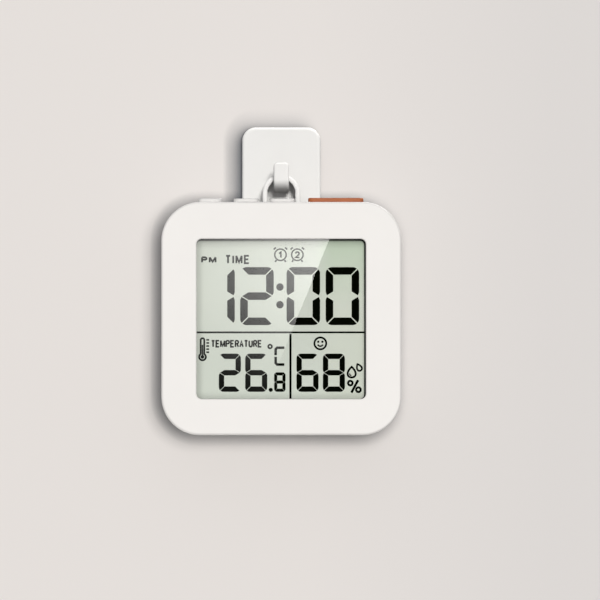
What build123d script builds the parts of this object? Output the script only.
from build123d import *
import os
from math import sqrt

# A small square clock that hangs by its loop on a stick-on wall hook.
# It shows the time, the temperature and the humidity. All lengths are millimetres.
# +X is right seen from the front, the front faces -Y and +Z is up.
# The origin is the middle of the adhesive pad's back face, on the wall.

# Wall hook and its pad
pad_thickness = 1.0
pad_border = 1.0
plate_width = 26.2
plate_height = 38.0
plate_thickness = 2.0
plate_corner_radius = 4.6
plate_edge_round = 0.8
hook_width = 5.1
hook_slot = 4.4
hook_tongue_thickness = 1.8
hook_floor_z = 0.67
hook_floor_thickness = 3.5
hook_tip_z = 7.3
hook_bend_height = 4.2
hook_inner_radius = 1.0
hook_edge_round = 0.6
hook_back_edge_round = 0.3
hook_tip_corner_radius = 1.4

# Hanging loop
loop_inner_radius = 4.6
loop_bar_width = 1.75
loop_bar_depth = 3.8
loop_edge_round = 0.6
loop_rest_gap = 0.1
loop_limb = 5.07
loop_ear_radius = 1.15
loop_pin_radius = 0.9
loop_pin_length = 1.45
pin_running_gap = 0.05
pivot_below_top = 2.07

# Clock case; its width follows from the cells and its depth from what lies behind the window
case_height = 77.7
case_beside_stand = 8.9
case_corner_radius = 12.9
wall = 1.8
bezel_thickness = 1.6
front_edge_round = 0.8
rear_edge_round = 3.0
parting_behind_keys = 2.0
case_to_plate_gap = 0.5
lap_wall = 0.9
lap_depth = 1.6
lap_gap = 0.08

# Window, lens and display stack, from the front to the back
bezel_side = 11.75
bezel_top = 12.28
bezel_bottom = 12.02
window_corner_radius = 1.8
window_bevel = 0.3
tape_thickness = 0.15
tape_width = 1.4
lens_thickness = 1.0
lens_margin_side = 1.5
lens_margin_end = 1.4
lens_corner_radius = 1.0
lens_gap = 0.1
lip_thickness = 0.6
lip_inset = 0.3
lip_shift_left = 0.28
lip_shift_down = 0.28
glass_thickness = 0.8
glass_margin_side = 1.65
glass_margin_end = 1.5
glass_ledge = 3.1
sheet_thickness = 0.15
guide_thickness = 1.2
guide_inset = 1.3
holder_wall = 1.2
holder_gap = 0.1
holder_corner_radius = 1.0
rib_thickness = 1.0
rib_length = 18.0
rib_gap = 0.15
zebra_height = 2.3
zebra_side_inset = 1.4
led_height = 3.5
led_gap = 0.1

# Circuit board and what it carries
board_thickness = 1.0
board_beside_glass = 1.1
board_top_below_case_top = 4.96
board_bottom_above_case_bottom = 2.74
board_corner_radius = 2.0
board_hole_radius = 0.85
board_boss_radius = 1.5
board_boss_from_side_top = 2.0
board_boss_from_side_bottom = 5.0
board_boss_from_top = 1.7
board_boss_from_bottom = 1.7
board_screw_radius = 0.7
board_screw_length = 3.6
board_screw_head_radius = 1.4
board_screw_head_height = 0.9
screw_gap = 0.03
switch_width = 6.0
switch_depth = 3.5
switch_height = 3.1
switch_actuator_width = 2.6
switch_actuator_depth = 1.6
switch_actuator_height = 1.1
switch_below_board_top = 0.3
chip_radius = 5.0
chip_height = 1.5
chip_round_share = 0.9
chip_x_share = 0.18
chip_drop_share = 0.57
crystal_radius = 1.0
crystal_length = 6.2
crystal_lead_length = 2.4
crystal_lead_radius = 0.2
crystal_drop_share = 0.41
buzzer_radius = 4.5
buzzer_height = 4.2
buzzer_port_radius = 1.0
buzzer_x_share = -0.22
buzzer_drop_share = 0.65
sound_hole_radius = 0.6
sound_hole_pitch = 2.4
sensor_width = 3.4
sensor_depth = 3.2
sensor_height = 8.0
sensor_from_board_edge = 0.4
sensor_window_depth = 0.5
sensor_window_border = 0.7
thermistor_radius = 0.9
thermistor_length = 3.2
thermistor_round_share = 0.8
thermistor_above_sensor = 4.0
vent_height = 0.9
vent_length = 7.0
vent_behind_front = 0.5
vent_below_middle = 2.8

# Keys on the top edge; the three white ones are even, and the long one fills the rest
first_key_from_side = 16.3
key_pitch_share = 0.15
mode_key_width_share = 0.101
arrow_key_width_share = 0.105
snooze_key_gap = 4.5
snooze_key_from_side = 12.55
key_height = 1.2
snooze_key_height = 1.4
key_depth = 5.5
key_behind_front = 5.5
key_corner_radius = 1.8
key_top_round = 0.45
key_side_gap = 0.15
key_flange = 0.8
key_flange_thickness = 0.9
key_flange_gap = 0.1
key_travel = 0.5
key_free_gap = 0.05
key_stem_width = 3.0
key_stem_depth = 2.4

# Case screws
case_boss_beside_board = 0.4
case_boss_from_end = 7.7
front_boss_radius = 2.3
rear_boss_radius = 3.0
case_screw_radius = 1.0
case_screw_length = 10.0
case_screw_head_radius = 1.7
case_screw_head_height = 1.3
screw_cross_width = 0.5
screw_cross_length = 2.0
screw_cross_depth = 0.6
counterbore_radius = 1.8
counterbore_depth = 3.0

# Battery bay, two AAA cells lying side to side
cell_radius = 5.25
cell_length = 44.5
cell_nub_radius = 1.9
cell_nub_height = 0.8
cell_edge_round = 0.5
cell_pitch = 11.3
cell_gap = 0.2
cell_to_door = 0.7
contact_room = 5.5
bay_wall = 1.2
bay_floor_gap = 0.3
bay_floor_thickness = 1.3
bay_above_stand = 4.4
cradle_height = 3.2
contact_thickness = 0.4
contact_width = 8.6
contact_plate_depth = 8.8
contact_dimple_radius = 1.6
contact_dimple_height = 0.5
leaf_thickness = 0.35
leaf_width = 5.0
leaf_radius = 3.9
tail_width = 2.0
tail_slot_gap = 0.25

# Battery door
door_overlap = 0.9
door_gap = 0.2
door_corner_radius = 1.0
door_face_gap = 0.1
door_pin_radius = 0.5
door_pin_length = 1.1
latch_width = 5.0
latch_reach = 0.4
latch_thickness = 0.7
latch_slot_width = 0.8
latch_slot_length = 6.0
latch_tongue_width = 10.0
latch_notch_gap = 0.2
grip_groove_width = 0.8
grip_groove_pitch = 1.8
grip_groove_depth = 0.5
grip_groove_length = 7.0
grip_groove_count = 3

# Desk stand, a U-shaped bail folded flat round the battery door
stand_leg_width = 2.8
stand_beside_door = 2.4
stand_above_case_bottom = 4.1
stand_thickness = 2.6
stand_pivot_below_case_top = 24.0
stand_outer_radius = 4.0
stand_inner_radius = 2.0
stand_ear_radius = 1.3
stand_pin_radius = 0.8
stand_pin_length = 1.1
stand_side_gap = 0.3
stand_back_gap = 0.1
stand_recess_depth = 3.0
stand_recess_wall = 1.2
stand_scoop_half_width = 7.0
stand_scoop_height = 1.3
stand_scoop_depth = 2.0

# Pocket in the back of the case for the hanging loop
pocket_side_gap = 0.4
pocket_wall = 1.4
pocket_depth = 5.6
pocket_foot_gap = 1.3
fold_recess_depth = 3.8
fold_recess_gap = 0.9

overrun = 1.0

# Places worked out from the sizes above
plate_front_y = -(pad_thickness + plate_thickness)
loop_y = plate_front_y - hook_slot / 2
hook_back_y = plate_front_y - hook_slot
hook_front_y = hook_back_y - hook_tongue_thickness
loop_touch_radius = loop_inner_radius - loop_rest_gap
loop_arc_z = hook_floor_z - sqrt(loop_touch_radius ** 2 - (hook_width / 2) ** 2)
loop_outer_radius = loop_inner_radius + loop_bar_width
pivot_z = loop_arc_z - loop_limb

bay_half_length = (cell_length + contact_room) / 2
door_half_width = bay_half_length + door_overlap
stand_inner_half_width = door_half_width + stand_beside_door
stand_outer_half_width = stand_inner_half_width + stand_leg_width
case_width = 2 * (stand_outer_half_width + case_beside_stand)

display_depth = bezel_thickness + tape_thickness + lens_thickness + lens_gap + lip_thickness
display_depth += 2 * glass_thickness + sheet_thickness + guide_thickness + board_thickness
bay_depth = bay_floor_gap + bay_floor_thickness + 2 * cell_radius + cell_to_door + wall
case_depth = display_depth + bay_depth
case_top_z = pivot_z + pivot_below_top
case_middle_z = case_top_z - case_height / 2
case_bottom_z = case_top_z - case_height
case_back_y = plate_front_y - case_to_plate_gap
case_front_y = case_back_y - case_depth
front_shell_depth = key_behind_front + key_depth + parting_behind_keys
parting_y = case_front_y + front_shell_depth
rear_shell_depth = case_depth - front_shell_depth
skin_inner_y = case_back_y - wall
bezel_inner_y = case_front_y + bezel_thickness

window_width = case_width - 2 * bezel_side
window_height = case_height - bezel_top - bezel_bottom
window_z = case_top_z - bezel_top - window_height / 2
lens_front_y = bezel_inner_y + tape_thickness
lens_back_y = lens_front_y + lens_thickness
lens_width = window_width + 2 * lens_margin_side
lens_height = window_height + 2 * lens_margin_end
lip_front_y = lens_back_y + lens_gap
lip_back_y = lip_front_y + lip_thickness
glass_width = window_width + 2 * glass_margin_side
glass_height = window_height + 2 * glass_margin_end
glass_bottom_z = window_z - glass_height / 2
glass_middle_y = lip_back_y + glass_thickness
glass_back_y = glass_middle_y + glass_thickness
sheet_back_y = glass_back_y + sheet_thickness
board_front_y = sheet_back_y + guide_thickness
board_back_y = board_front_y + board_thickness
full_glass_height = glass_height + glass_ledge
full_glass_z = window_z - glass_ledge / 2
holder_inner_width = glass_width + 2 * holder_gap
holder_inner_height = full_glass_height + 2 * holder_gap
holder_outer_width = holder_inner_width + 2 * holder_wall
holder_outer_height = holder_inner_height + 2 * holder_wall

board_width = glass_width + 2 * board_beside_glass
board_top_z = case_top_z - board_top_below_case_top
board_bottom_z = case_bottom_z + board_bottom_above_case_bottom
board_height = board_top_z - board_bottom_z
board_boss_x_top = board_width / 2 - board_boss_from_side_top
board_boss_x_bottom = board_width / 2 - board_boss_from_side_bottom
board_bosses = [(sign * board_boss_x_top, board_top_z - board_boss_from_top) for sign in (-1, 1)]
board_bosses += [(sign * board_boss_x_bottom, board_bottom_z + board_boss_from_bottom) for sign in (-1, 1)]
case_boss_x = board_width / 2 + case_boss_beside_board + front_boss_radius
case_boss_reach = case_height / 2 - case_boss_from_end
case_bosses = [(i * case_boss_x, case_middle_z + j * case_boss_reach) for i in (-1, 1) for j in (-1, 1)]
sensor_z = case_middle_z - vent_below_middle

first_key_x = first_key_from_side - case_width / 2
key_pitch = key_pitch_share * case_width
mode_key_width = mode_key_width_share * case_width
arrow_key_width = arrow_key_width_share * case_width
snooze_low_x = first_key_x + 2 * key_pitch + arrow_key_width / 2 + snooze_key_gap
snooze_high_x = case_width / 2 - snooze_key_from_side
keys = {
    "mode_key": (first_key_x, mode_key_width, key_height),
    "up_key": (first_key_x + key_pitch, arrow_key_width, key_height),
    "down_key": (first_key_x + 2 * key_pitch, arrow_key_width, key_height),
    "snooze_key": ((snooze_low_x + snooze_high_x) / 2, snooze_high_x - snooze_low_x, snooze_key_height),
}
key_y = case_front_y + key_behind_front + key_depth / 2
wall_inner_z = case_top_z - wall
flange_top_z = wall_inner_z - key_flange_gap
switch_top_z = board_top_z - switch_below_board_top
switch_y = board_back_y + switch_depth / 2
actuator_top_z = switch_top_z + switch_actuator_height
stem_bottom_z = actuator_top_z + key_travel + key_free_gap

stand_pivot_z = case_top_z - stand_pivot_below_case_top
stand_pivot_y = case_back_y - stand_back_gap - stand_thickness / 2
stand_bottom_z = case_bottom_z + stand_above_case_bottom

bay_half_height = cell_pitch
door_half_height = bay_half_height + door_overlap
door_bottom_z = stand_bottom_z + stand_leg_width + bay_above_stand
bay_z = door_bottom_z + door_half_height
cell_y = skin_inner_y - cell_to_door - cell_radius
bay_floor_y = board_back_y + bay_floor_gap
cradle_y = bay_floor_y + cradle_height
cell_zs = {"upper": bay_z + cell_pitch / 2, "lower": bay_z - cell_pitch / 2}
contact_face_x = bay_half_length - contact_thickness
dimple_x = contact_face_x - contact_dimple_height
cell_far_x = dimple_x - cell_length

door_top_z = bay_z + door_half_height
door_pin_y = case_back_y - wall / 2
door_pin_z = door_top_z - wall / 2 + door_face_gap

board_room = board_top_z - (bay_z + bay_half_height + bay_wall)
chip_x = chip_x_share * board_width
chip_z = board_top_z - chip_drop_share * board_room
crystal_z = board_top_z - crystal_drop_share * board_room
buzzer_x = buzzer_x_share * board_width
buzzer_z = board_top_z - buzzer_drop_share * board_room

pocket_half_width = loop_outer_radius + pocket_side_gap
pocket_bottom_z = pivot_z - loop_ear_radius - pocket_foot_gap
fold_recess_z = pivot_z - (loop_limb + loop_outer_radius) - fold_recess_gap


def slab(outline, back_y, thickness):
    """Extrudes an outline drawn in X and Z from its back face at back_y towards the front."""
    face = Plane(origin=(0, back_y, 0), x_dir=(1, 0, 0), z_dir=(0, -1, 0)) * outline
    return extrude(face, amount=thickness)


def block(x_span, y_span, z_span):
    """A box between the two limits given along each axis."""
    spans = (x_span, y_span, z_span)
    middle = [(low + high) / 2 for low, high in spans]
    return Pos(*middle) * Box(*[high - low for low, high in spans])


def rod_x(radius, x_span, y, z):
    """A cylinder along X."""
    low, high = x_span
    return Pos((low + high) / 2, y, z) * Cylinder(radius, high - low, rotation=(0, 90, 0))


def rod_y(radius, y_span, x, z):
    """A cylinder along Y."""
    low, high = y_span
    return Pos(x, (low + high) / 2, z) * Cylinder(radius, high - low, rotation=(90, 0, 0))


def case_outline(inset=0):
    """The clock's rounded square, drawn in by inset all round."""
    width = case_width - 2 * inset
    height = case_height - 2 * inset
    return Pos(0, case_middle_z) * RectangleRounded(width, height, case_corner_radius - inset)


def rounded(width, height, radius, x, z):
    """A rounded rectangle with its middle at x and z."""
    return Pos(x, z) * RectangleRounded(width, height, radius)


def front_face(solid):
    """The flat face nearest to the front."""
    return solid.faces().sort_by(Axis.Y)[0]


def back_face(solid):
    """The flat face nearest to the wall."""
    return solid.faces().sort_by(Axis.Y)[-1]


def adhesive_pad():
    """Foam pad that holds the hook plate to the wall."""
    width = plate_width - 2 * pad_border
    height = plate_height - 2 * pad_border
    return slab(rounded(width, height, plate_corner_radius - pad_border, 0, 0), 0, pad_thickness)


def hook_plate():
    """Moulded plate with a J-shaped hook standing out of its middle."""
    outline = rounded(plate_width, plate_height, plate_corner_radius, 0, 0)
    plate = slab(outline, -pad_thickness, plate_thickness)
    plate = fillet(front_face(plate).edges(), plate_edge_round)
    bottom_z = hook_floor_z - hook_floor_thickness
    root_y = plate_front_y + plate_thickness / 2
    side = Plane.YZ.offset(-hook_width / 2)
    bend_top_z = bottom_z + hook_bend_height
    bend_depth = plate_front_y - hook_front_y
    bend = EllipticalCenterArc((plate_front_y, bend_top_z), bend_depth, hook_bend_height, start_angle=180)
    rest = Polyline(
        (plate_front_y, bottom_z), (root_y, bottom_z), (root_y, hook_floor_z),
        (hook_back_y, hook_floor_z), (hook_back_y, hook_tip_z), (hook_front_y, hook_tip_z),
        (hook_front_y, bend_top_z))
    hook = extrude(side * make_face(bend + rest), amount=hook_width)
    floor_corner = hook.edges().filter_by(Axis.X).sort_by_distance((0, hook_back_y, hook_floor_z))[0]
    hook = fillet(floor_corner, hook_inner_radius)
    tip_corners = hook.edges().filter_by(Axis.Y).group_by(Axis.Z)[-1]
    hook = fillet(tip_corners, hook_tip_corner_radius)
    hook = fillet(front_face(hook).edges(), hook_edge_round)
    slot_face = hook.faces().filter_by(Axis.Y).sort_by_distance((0, hook_back_y, hook_tip_z / 2))[0]
    rim_floor_z = hook_floor_z + hook_inner_radius + overrun
    rim = [edge for edge in slot_face.edges() if edge.center().Z > rim_floor_z]
    hook = fillet(rim, hook_back_edge_round)
    return plate + hook


def hang_loop():
    """Arched bail with pins that turn in the sides of the case's pocket."""
    foot_z = loop_arc_z - loop_limb
    limb = Pos(0, (loop_arc_z + foot_z) / 2)
    outer = Pos(0, loop_arc_z) * Circle(loop_outer_radius)
    outer += limb * Rectangle(2 * loop_outer_radius, loop_limb)
    inner = Pos(0, loop_arc_z) * Circle(loop_inner_radius)
    inner += limb * Rectangle(2 * loop_inner_radius, loop_limb + 2 * overrun)
    cut = Pos(0, foot_z - loop_outer_radius / 2) * Rectangle(2 * loop_outer_radius, loop_outer_radius)
    loop = slab(outer - inner - cut, loop_y + loop_bar_depth / 2, loop_bar_depth)
    rims = front_face(loop).edges() + back_face(loop).edges()
    rims = [edge for edge in rims if edge.center().Z > foot_z + loop_edge_round]
    loop = fillet(rims, loop_edge_round)
    for sign in (-1, 1):
        ear = sorted((sign * loop_inner_radius, sign * loop_outer_radius))
        pin_root = loop_outer_radius - loop_bar_width / 2
        pin = sorted((sign * pin_root, sign * (loop_outer_radius + loop_pin_length)))
        loop += rod_x(loop_ear_radius, ear, loop_y, pivot_z)
        loop += rod_x(loop_pin_radius, pin, loop_y, pivot_z)
    return loop


def front_case():
    """Front shell: a pan with the window, the key openings, the vent slot and the screw bosses."""
    shell = slab(case_outline(), parting_y, front_shell_depth)
    shell = fillet(front_face(shell).edges(), front_edge_round)
    shell -= slab(case_outline(wall), parting_y + overrun, front_shell_depth - bezel_thickness + overrun)
    shell -= slab(case_outline(lap_wall), parting_y + overrun, lap_depth + overrun)
    window = rounded(window_width, window_height, window_corner_radius, 0, window_z)
    shell -= slab(window, bezel_inner_y + overrun, bezel_thickness + 2 * overrun)
    shell = chamfer(front_face(shell).inner_wires()[0].edges(), window_bevel)
    for x, z in case_bosses:
        shell += rod_y(front_boss_radius, (bezel_inner_y - bezel_thickness / 2, parting_y - lap_gap), x, z)
        shell -= rod_y(case_screw_radius + screw_gap, (bezel_inner_y, parting_y + overrun), x, z)
    for x, z in board_bosses:
        shell += rod_y(board_boss_radius, (bezel_inner_y - bezel_thickness / 2, board_front_y), x, z)
        shell -= rod_y(board_screw_radius + screw_gap, (bezel_inner_y, board_front_y + overrun), x, z)
    shell += display_ribs()
    for x, width, height in keys.values():
        shell -= key_prism(width, key_side_gap, x, wall_inner_z - overrun, case_top_z + overrun)
    vent_y = case_front_y + vent_behind_front
    vent_x = (case_width / 2 - wall, case_width / 2 + overrun)
    vent_z = (sensor_z - vent_height / 2, sensor_z + vent_height / 2)
    return shell - block(vent_x, (vent_y, vent_y + vent_length), vent_z)


def display_ribs():
    """Short ribs inside the front that keep the display holder in its place."""
    side_x = holder_outer_width / 2 + rib_gap
    end_z = holder_outer_height / 2 + rib_gap
    y_span = (bezel_inner_y - bezel_thickness / 2, glass_middle_y)
    ribs = None
    for sign in (-1, 1):
        x_span = sorted((sign * side_x, sign * (side_x + rib_thickness)))
        rib = block(x_span, y_span, (full_glass_z - rib_length / 2, full_glass_z + rib_length / 2))
        z_span = sorted((full_glass_z + sign * end_z, full_glass_z + sign * (end_z + rib_thickness)))
        rib += block((-rib_length / 2, rib_length / 2), y_span, z_span)
        ribs = rib if ribs is None else ribs + rib
    return ribs


def key_prism(width, margin, x, bottom_z, top_z):
    """Upright prism of a key's outline, grown by margin all round."""
    outline = RectangleRounded(width + 2 * margin, key_depth + 2 * margin, key_corner_radius + margin)
    return extrude(Pos(x, key_y, bottom_z) * outline, amount=top_z - bottom_z)


def key(name):
    """A key: cap through the top wall, flange under it and a stem over its switch."""
    x, width, height = keys[name]
    top_z = case_top_z + height
    cap = key_prism(width, 0, x, flange_top_z - key_flange_thickness / 2, top_z)
    cap = fillet(cap.faces().sort_by(Axis.Z)[-1].edges(), key_top_round)
    cap += key_prism(width, key_flange, x, flange_top_z - key_flange_thickness, flange_top_z)
    x_span = (x - key_stem_width / 2, x + key_stem_width / 2)
    y_span = (switch_y - key_stem_depth / 2, switch_y + key_stem_depth / 2)
    return cap + block(x_span, y_span, (stem_bottom_z, flange_top_z - key_flange_thickness / 2))


def window_lens():
    """Clear sheet behind the window."""
    outline = rounded(lens_width, lens_height, lens_corner_radius, 0, window_z)
    return slab(outline, lens_back_y, lens_thickness)


def lens_tape():
    """Thin adhesive frame between the bezel and the lens."""
    outline = rounded(lens_width, lens_height, lens_corner_radius, 0, window_z)
    hole_width = lens_width - 2 * tape_width
    hole_height = lens_height - 2 * tape_width
    hole = rounded(hole_width, hole_height, lens_corner_radius, 0, window_z)
    return slab(outline - hole, lens_front_y, tape_thickness)


def lcd_frame():
    """Holder with a lip in front of the display glass, which shows beside the window's top and right edges."""
    outer = rounded(holder_outer_width, holder_outer_height, holder_corner_radius, 0, full_glass_z)
    inner = Pos(0, full_glass_z) * Rectangle(holder_inner_width, holder_inner_height)
    mouth_width = window_width - 2 * lip_inset
    mouth_height = window_height - 2 * lip_inset
    mouth_z = window_z - lip_shift_down
    mouth = rounded(mouth_width, mouth_height, window_corner_radius - lip_inset, -lip_shift_left, mouth_z)
    ring = slab(outer - inner, board_front_y, board_front_y - bezel_inner_y)
    return ring + slab(outer - mouth, lip_back_y, lip_thickness)


def lcd_panel():
    """Two sheets of glass; the front one has a ledge below, where the contacts are."""
    front_sheet = Pos(0, full_glass_z) * Rectangle(glass_width, full_glass_height)
    rear_sheet = Pos(0, window_z) * Rectangle(glass_width, glass_height)
    front = slab(front_sheet, glass_middle_y, glass_thickness)
    rear = slab(rear_sheet, glass_back_y, glass_thickness)
    return front + rear


def diffuser_sheet():
    """Thin white sheet that gives the display its pale ground."""
    return slab(Pos(0, window_z) * Rectangle(glass_width, glass_height), sheet_back_y, sheet_thickness)


def light_guide():
    """Clear plate that spreads the lamp's light behind the display."""
    outline = Pos(0, window_z) * Rectangle(glass_width - 2 * guide_inset, glass_height)
    return slab(outline, board_front_y, guide_thickness)


def backlight_led():
    """Small lamp on the board that shines into the guide's left edge."""
    inner_x = glass_width / 2 - guide_inset + led_gap
    z_span = (window_z - led_height / 2, window_z + led_height / 2)
    return block((-glass_width / 2, -inner_x), (sheet_back_y + led_gap, board_front_y), z_span)


def zebra_strip():
    """Rubber strip that joins the glass ledge to the board."""
    z = glass_bottom_z - glass_ledge / 2
    x = glass_width / 2 - zebra_side_inset
    return block((-x, x), (glass_middle_y, board_front_y), (z - zebra_height / 2, z + zebra_height / 2))


def main_pcb():
    """Circuit board, screwed to four bosses of the front shell."""
    middle = (board_top_z + board_bottom_z) / 2
    outline = rounded(board_width, board_height, board_corner_radius, 0, middle)
    board = slab(outline, board_back_y, board_thickness)
    for x, z in board_bosses:
        board -= rod_y(board_hole_radius, (board_front_y - overrun, board_back_y + overrun), x, z)
    return board


def driver_chip():
    """Blob of black resin over the bare chip."""
    blob = rod_y(chip_radius, (board_back_y, board_back_y + chip_height), chip_x, chip_z)
    return fillet(back_face(blob).edges(), chip_height * chip_round_share)


def quartz_crystal():
    """Watch crystal lying on the board, with its two leads."""
    y = board_back_y + crystal_radius
    x_span = (-crystal_length / 2, crystal_length / 2)
    crystal = rod_x(crystal_radius, x_span, y, crystal_z)
    for sign in (-1, 1):
        lead = (x_span[0] - crystal_lead_length, x_span[0] + crystal_lead_radius)
        crystal += rod_x(crystal_lead_radius, lead, y, crystal_z + sign * crystal_radius / 2)
    return crystal


def thermistor():
    """Glass bead that reads the temperature, next to the vent slot."""
    x = board_width / 2 - sensor_from_board_edge - sensor_width / 2
    z = sensor_z + sensor_height / 2 + thermistor_above_sensor
    x_span = (x - thermistor_length / 2, x + thermistor_length / 2)
    bead = rod_x(thermistor_radius, x_span, board_back_y + thermistor_radius, z)
    return fillet(bead.edges().filter_by(GeomType.CIRCLE), thermistor_radius * thermistor_round_share)


def humidity_sensor():
    """Small caged sensor on the board's right edge, next to the vent slot."""
    x_high = board_width / 2 - sensor_from_board_edge
    x_span = (x_high - sensor_width, x_high)
    y_span = (board_back_y, board_back_y + sensor_depth)
    z_span = (sensor_z - sensor_height / 2, sensor_z + sensor_height / 2)
    cage = block(x_span, y_span, z_span)
    slot_y = (y_span[0] + sensor_window_border, y_span[1] - sensor_window_border)
    slot_z = (z_span[0] + sensor_window_border, z_span[1] - sensor_window_border)
    return cage - block((x_high - sensor_window_depth, x_high + overrun), slot_y, slot_z)


def buzzer():
    """Round sounder on the board, with its port towards the back."""
    can = rod_y(buzzer_radius, (board_back_y, board_back_y + buzzer_height), buzzer_x, buzzer_z)
    port_y = (board_back_y + buzzer_height / 2, board_back_y + buzzer_height + overrun)
    return can - rod_y(buzzer_port_radius, port_y, buzzer_x, buzzer_z)


def tact_switches():
    """Four push switches on the board's top edge, one under each key."""
    switches = []
    for x, width, height in keys.values():
        y_span = (board_back_y, board_back_y + switch_depth)
        z_span = (switch_top_z - switch_height, switch_top_z)
        body = block((x - switch_width / 2, x + switch_width / 2), y_span, z_span)
        x_span = (x - switch_actuator_width / 2, x + switch_actuator_width / 2)
        y_span = (switch_y - switch_actuator_depth / 2, switch_y + switch_actuator_depth / 2)
        switches.append(body + block(x_span, y_span, (switch_top_z - overrun, actuator_top_z)))
    return Compound(children=switches)


def rear_case():
    """Rear shell: back skin, battery bay, stand recess, loop pocket, screw wells and sound holes."""
    outer = slab(case_outline(), case_back_y, rear_shell_depth)
    outer = fillet(back_face(outer).edges(), rear_edge_round)
    shell = outer - slab(case_outline(wall), skin_inner_y, rear_shell_depth)
    shell += slab(case_outline(lap_wall + lap_gap) - case_outline(wall), parting_y, lap_depth - lap_gap)
    shell += bay_block()
    shell += stand_tub() & outer
    shell += pocket_tub() & outer
    for x, z in case_bosses:
        boss = rod_y(rear_boss_radius, (parting_y + lap_gap, case_back_y), x, z)
        shell += boss & outer
    shell -= bay_hollow()
    shell -= stand_recess()
    shell -= pocket_hollow()
    for x, z in case_bosses:
        seat_y = case_back_y - counterbore_depth
        shell -= rod_y(counterbore_radius, (seat_y, case_back_y + overrun), x, z)
        shell -= rod_y(case_screw_radius + screw_gap, (parting_y - overrun, seat_y + overrun), x, z)
    for step_x, step_z in ((0, 0), (1, 0), (-1, 0), (0, 1), (0, -1)):
        x = buzzer_x + step_x * sound_hole_pitch
        hole_z = buzzer_z + step_z * sound_hole_pitch
        shell -= rod_y(sound_hole_radius, (skin_inner_y - overrun, case_back_y + overrun), x, hole_z)
    return shell


def bay_block():
    """Walls and floor of the battery bay, solid until its hollow is cut."""
    x = bay_half_length + bay_wall
    z = bay_half_height + bay_wall
    return block((-x, x), (bay_floor_y, skin_inner_y), (bay_z - z, bay_z + z))


def bay_hollow():
    """The bay's hollow with two cradles, the door opening and the door's pin holes."""
    x_span = (-bay_half_length, bay_half_length)
    z_span = (bay_z - bay_half_height, bay_z + bay_half_height)
    hollow = block(x_span, (cradle_y, skin_inner_y + overrun), z_span)
    for z in cell_zs.values():
        hollow += rod_x(cell_radius + cell_gap, x_span, cell_y, z)
    hollow += slab(door_outline(door_gap), case_back_y + overrun, wall + overrun)
    notch_x = latch_width / 2 + latch_notch_gap
    notch_y = (door_pin_y - latch_thickness / 2 - latch_notch_gap, case_back_y + overrun)
    notch_z = (door_bottom_z - latch_reach - latch_notch_gap, door_bottom_z)
    hollow += block((-notch_x, notch_x), notch_y, notch_z)
    for sign in (-1, 1):
        reach = sorted((sign * door_half_width, sign * (door_half_width + door_pin_length + door_gap)))
        hollow += rod_x(door_pin_radius + pin_running_gap, reach, door_pin_y, door_pin_z)
        slot = sorted((sign * (contact_face_x - tail_slot_gap), sign * (bay_half_length + tail_slot_gap)))
        half = tail_width / 2 + tail_slot_gap
        for z in cell_zs.values():
            hollow += block(slot, (bay_floor_y - overrun, cradle_y), (z - half, z + half))
            plate_half = contact_width / 2 + tail_slot_gap
            plate_y = (cell_y - contact_plate_depth / 2 - tail_slot_gap, cradle_y + overrun)
            inner = sorted((sign * (contact_face_x - tail_slot_gap), sign * bay_half_length))
            hollow += block(inner, plate_y, (z - plate_half, z + plate_half))
        bridge_z = (cell_zs["lower"], cell_zs["upper"])
        if sign < 0:
            hollow += block(inner, plate_y, bridge_z)
    return hollow


def door_outline(gap):
    """The door's outline in X and Z, square at its hinge, grown by gap all round."""
    outline = Pos(0, bay_z) * Rectangle(2 * (door_half_width + gap), 2 * (door_half_height + gap))
    return fillet(outline.vertices().group_by(Axis.Y)[0], door_corner_radius + gap)


def stand_outline(side_gap, end_gap):
    """The stand's U in X and Z, grown by side_gap sideways and by end_gap at its ends."""
    outer_x = stand_outer_half_width + side_gap
    inner_x = stand_inner_half_width - side_gap
    top = stand_pivot_z + end_gap
    bottom = stand_bottom_z - side_gap
    crotch = stand_bottom_z + stand_leg_width + side_gap
    outer = Pos(0, (top + bottom) / 2) * Rectangle(2 * outer_x, top - bottom)
    outer = fillet(outer.vertices().group_by(Axis.Y)[0], stand_outer_radius + side_gap)
    inner = Pos(0, (top + crotch) / 2) * Rectangle(2 * inner_x, top - crotch)
    inner = fillet(inner.vertices().group_by(Axis.Y)[0], max(stand_inner_radius - side_gap, side_gap))
    return outer - inner


def stand_tub():
    """Material round the stand's recess."""
    gap = stand_side_gap + stand_recess_wall
    end = stand_ear_radius + stand_side_gap + stand_recess_wall
    depth = stand_recess_depth + stand_recess_wall
    return slab(stand_outline(gap, end), case_back_y, depth)


def stand_recess():
    """The stand's recess, its pin holes and the finger scoop under its bar."""
    outline = stand_outline(stand_side_gap, stand_ear_radius + stand_side_gap)
    recess = slab(outline, case_back_y + overrun, stand_recess_depth + overrun)
    scoop_z = stand_bottom_z - stand_side_gap
    scoop_x = stand_scoop_half_width
    scoop_y = (case_back_y - stand_scoop_depth, case_back_y + overrun)
    recess += block((-scoop_x, scoop_x), scoop_y, (scoop_z - stand_scoop_height, scoop_z + overrun))
    for sign in (-1, 1):
        reach = stand_outer_half_width + stand_side_gap
        end = stand_outer_half_width + stand_pin_length + stand_side_gap / 2
        span = sorted((sign * reach, sign * end))
        recess += rod_x(stand_pin_radius + pin_running_gap, span, stand_pivot_y, stand_pivot_z)
    return recess


def pocket_tub():
    """Material round the loop's pocket."""
    x = pocket_half_width + pocket_wall
    deep_y = case_back_y - pocket_depth - pocket_wall
    tub = block((-x, x), (deep_y, case_back_y), (pocket_bottom_z - pocket_wall, case_top_z))
    shallow_y = case_back_y - fold_recess_depth - pocket_wall
    return tub + block((-x, x), (shallow_y, case_back_y), (fold_recess_z - pocket_wall, pocket_bottom_z))


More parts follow.
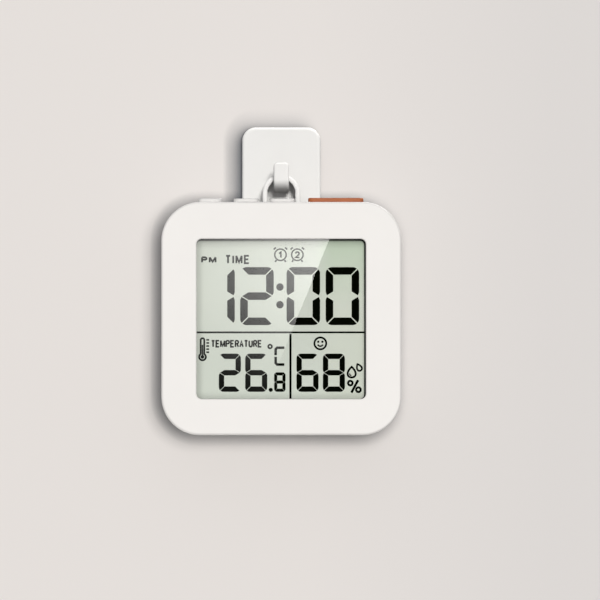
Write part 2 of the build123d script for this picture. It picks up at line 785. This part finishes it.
def pocket_hollow():
    """The loop's pocket, the recess that it folds into and its pin holes."""
    x = pocket_half_width
    y_high = case_back_y + overrun
    hollow = block((-x, x), (case_back_y - pocket_depth, y_high), (pocket_bottom_z, case_top_z + overrun))
    fold_y = case_back_y - fold_recess_depth
    hollow += block((-x, x), (fold_y, y_high), (fold_recess_z, pocket_bottom_z + overrun))
    for sign in (-1, 1):
        end = loop_outer_radius + loop_pin_length + pin_running_gap
        span = sorted((sign * (x - overrun), sign * end))
        hollow += rod_x(loop_pin_radius + pin_running_gap, span, loop_y, pivot_z)
    return hollow


def cell(side, z):
    """An AAA cell lying along X, its positive end towards side."""
    low_x = cell_far_x
    body_x = dimple_x - cell_nub_height
    body = rod_x(cell_radius, (low_x, body_x), cell_y, z)
    body = fillet(body.edges().filter_by(GeomType.CIRCLE), cell_edge_round)
    body += rod_x(cell_nub_radius, (body_x - overrun, dimple_x), cell_y, z)
    if side < 0:
        body = mirror(body, about=Plane.YZ)
    return body


def contact_plate(side, z_low, z_high):
    """Flat spring-metal plate on the bay's end wall, with the tail that reaches the board."""
    x_span = sorted((side * contact_face_x, side * bay_half_length))
    y_span = (cell_y - contact_plate_depth / 2, cell_y + contact_plate_depth / 2)
    return block(x_span, y_span, (z_low, z_high))


def contact_tail(side, z):
    """Narrow tail of a contact, through the bay floor to the board."""
    x_span = sorted((side * contact_face_x, side * bay_half_length))
    y_span = (board_back_y, cell_y - contact_plate_depth / 2)
    return block(x_span, y_span, (z - tail_width / 2, z + tail_width / 2))


def contact_dimple(side, z):
    """Round dimple that meets a cell's positive end."""
    return rod_x(contact_dimple_radius, sorted((side * dimple_x, side * contact_face_x)), cell_y, z)


def contact_leaf(side, z):
    """Bowed leaf spring that presses on a cell's negative end."""
    reach = side * -cell_far_x
    foot = side * contact_face_x
    bow = Pos(reach + side * leaf_radius, cell_y)
    ring = bow * Circle(leaf_radius) - bow * Circle(leaf_radius - leaf_thickness)
    ring &= Pos((reach + foot) / 2, cell_y) * Rectangle(abs(foot - reach), 2 * leaf_radius)
    return extrude(Pos(0, 0, z - leaf_width / 2) * ring, amount=leaf_width)


def contact_plus():
    """Positive contact of the upper cell, on the right."""
    z = cell_zs["upper"]
    half = contact_width / 2
    return contact_plate(1, z - half, z + half) + contact_tail(1, z) + contact_dimple(1, z)


def contact_minus():
    """Negative contact of the lower cell, on the right."""
    z = cell_zs["lower"]
    half = contact_width / 2
    return contact_plate(1, z - half, z + half) + contact_tail(1, z) + contact_leaf(1, z)


def contact_bridge():
    """Contact on the left that joins the two cells in a row."""
    low = cell_zs["lower"]
    high = cell_zs["upper"]
    half = contact_width / 2
    return contact_plate(-1, low - half, high + half) + contact_dimple(-1, low) + contact_leaf(-1, high)


def battery_door():
    """Cover of the bay, hinged on stub pins at its top and held by a latch at its bottom."""
    thickness = wall - door_face_gap
    door = slab(door_outline(0), case_back_y, thickness)
    top_edges = door.edges().filter_by(Axis.X).group_by(Axis.Z)[-1]
    door = fillet(top_edges, thickness / 2 - door_face_gap)
    for sign in (-1, 1):
        start = sign * (door_half_width - door_pin_length)
        span = sorted((start, sign * (door_half_width + door_pin_length)))
        door += rod_x(door_pin_radius, span, door_pin_y, door_pin_z)
        slot_x = sorted((sign * latch_tongue_width / 2, sign * (latch_tongue_width / 2 + latch_slot_width)))
        slot_z = (door_bottom_z - overrun, door_bottom_z + latch_slot_length)
        door -= block(slot_x, (skin_inner_y - overrun, case_back_y + overrun), slot_z)
    nub_y = (door_pin_y - latch_thickness / 2, door_pin_y + latch_thickness / 2)
    nub_z = (door_bottom_z - latch_reach, door_bottom_z + latch_reach)
    door += block((-latch_width / 2, latch_width / 2), nub_y, nub_z)
    for step in range(grip_groove_count):
        z = door_bottom_z + (step + 1) * grip_groove_pitch
        groove_z = (z - grip_groove_width / 2, z + grip_groove_width / 2)
        groove_x = (-grip_groove_length / 2, grip_groove_length / 2)
        door -= block(groove_x, (case_back_y - grip_groove_depth, case_back_y + overrun), groove_z)
    return door


def desk_stand():
    """U-shaped bail that folds out of the back on two pins."""
    back_y = case_back_y - stand_back_gap
    bail = slab(stand_outline(0, 0), back_y, stand_thickness)
    middle = (stand_inner_half_width + stand_outer_half_width) / 2
    for sign in (-1, 1):
        ear = sorted((sign * stand_inner_half_width, sign * stand_outer_half_width))
        pin = sorted((sign * middle, sign * (stand_outer_half_width + stand_pin_length)))
        bail += rod_x(stand_ear_radius, ear, stand_pivot_y, stand_pivot_z)
        bail += rod_x(stand_pin_radius, pin, stand_pivot_y, stand_pivot_z)
    return bail


def screw(x, z, seat_y, radius, length, head_radius, head_height):
    """Pan-head screw with a cross slot, its head towards the back."""
    head = rod_y(head_radius, (seat_y, seat_y + head_height), x, z)
    head = fillet(back_face(head).edges(), head_height / 2)
    depth = screw_cross_depth * head_radius / case_screw_head_radius
    length_share = head_radius / case_screw_head_radius
    half_length = screw_cross_length * length_share / 2
    half_width = screw_cross_width * length_share / 2
    y_span = (seat_y + head_height - depth, seat_y + head_height + overrun)
    head -= block((x - half_length, x + half_length), y_span, (z - half_width, z + half_width))
    head -= block((x - half_width, x + half_width), y_span, (z - half_length, z + half_length))
    shank = rod_y(radius, (seat_y - length, seat_y), x, z)
    return head + shank


def case_screws():
    """The four screws that close the case."""
    seat_y = case_back_y - counterbore_depth
    sizes = (case_screw_radius, case_screw_length, case_screw_head_radius, case_screw_head_height)
    return Compound(children=[screw(x, z, seat_y, *sizes) for x, z in case_bosses])


def pcb_screws():
    """The four small screws that hold the board."""
    sizes = (board_screw_radius, board_screw_length, board_screw_head_radius, board_screw_head_height)
    return Compound(children=[screw(x, z, board_back_y, *sizes) for x, z in board_bosses])


def main():
    nodes = {
        "adhesive_pad": adhesive_pad(),
        "hook_plate": hook_plate(),
        "hang_loop": hang_loop(),
        "front_case": front_case(),
        "rear_case": rear_case(),
        "window_lens": window_lens(),
        "lens_tape": lens_tape(),
        "lcd_frame": lcd_frame(),
        "lcd_panel": lcd_panel(),
        "diffuser_sheet": diffuser_sheet(),
        "light_guide": light_guide(),
        "backlight_led": backlight_led(),
        "zebra_strip": zebra_strip(),
        "main_pcb": main_pcb(),
        "driver_chip": driver_chip(),
        "quartz_crystal": quartz_crystal(),
        "thermistor": thermistor(),
        "humidity_sensor": humidity_sensor(),
        "buzzer": buzzer(),
        "tact_switches": tact_switches(),
        "battery_upper": cell(1, cell_zs["upper"]),
        "battery_lower": cell(-1, cell_zs["lower"]),
        "contact_plus": contact_plus(),
        "contact_minus": contact_minus(),
        "contact_bridge": contact_bridge(),
        "battery_door": battery_door(),
        "desk_stand": desk_stand(),
        "case_screws": case_screws(),
        "pcb_screws": pcb_screws(),
    }
    for name in keys:
        nodes[name] = key(name)
    os.makedirs("parts", exist_ok=True)
    for name, solid in nodes.items():
        export_step(solid, os.path.join("parts", name + ".step"))
        print(name, round(solid.volume, 3))


main()
